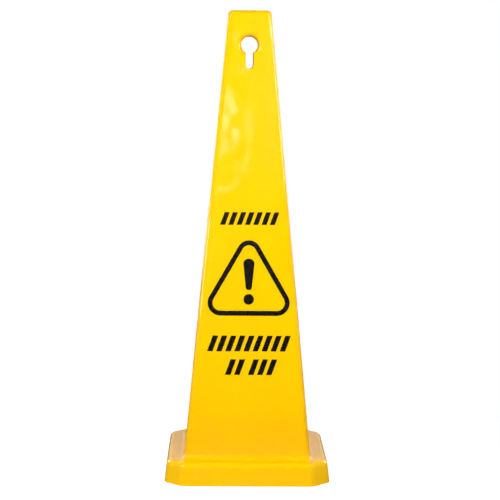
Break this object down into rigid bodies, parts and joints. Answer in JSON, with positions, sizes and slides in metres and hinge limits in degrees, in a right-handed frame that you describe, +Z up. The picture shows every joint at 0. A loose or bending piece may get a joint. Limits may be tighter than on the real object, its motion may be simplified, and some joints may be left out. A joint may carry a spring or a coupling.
{
  "type": "wet floor sign",
  "caption": "Tall four-sided floor caution cone on a low square plinth, hollow and open underneath, with a keyhole hanging hole near the top and black warning graphics on its faces.",
  "frame": {"origin": "centre of the base, on the floor", "axes": "+Z up; the front face, one of the two with the keyhole, faces -Y; +X to the right seen from the front"},
  "size_m": [0.314, 0.314, 0.89],
  "materials": {
    "moulded_plastic": "glossy moulded polypropylene, warning yellow",
    "graphics_film": "thin black die-cut film, slightly glossy"
  },
  "bodies": {
    "root": {"cone_shell": "moulded_plastic", "front_heading_stripes": "graphics_film", "front_warning_triangle": "graphics_film", "front_warning_mark": "graphics_film", "front_message_stripes_upper": "graphics_film", "front_message_stripes_lower": "graphics_film", "right_heading_stripes": "graphics_film", "right_warning_triangle": "graphics_film", "right_warning_mark": "graphics_film", "right_message_stripes_upper": "graphics_film", "right_message_stripes_lower": "graphics_film", "back_heading_stripes": "graphics_film", "back_warning_triangle": "graphics_film", "back_warning_mark": "graphics_film", "back_message_stripes_upper": "graphics_film", "back_message_stripes_lower": "graphics_film", "left_heading_stripes": "graphics_film", "left_warning_triangle": "graphics_film", "left_warning_mark": "graphics_film", "left_message_stripes_upper": "graphics_film", "left_message_stripes_lower": "graphics_film"}
  },
  "joints": []
}
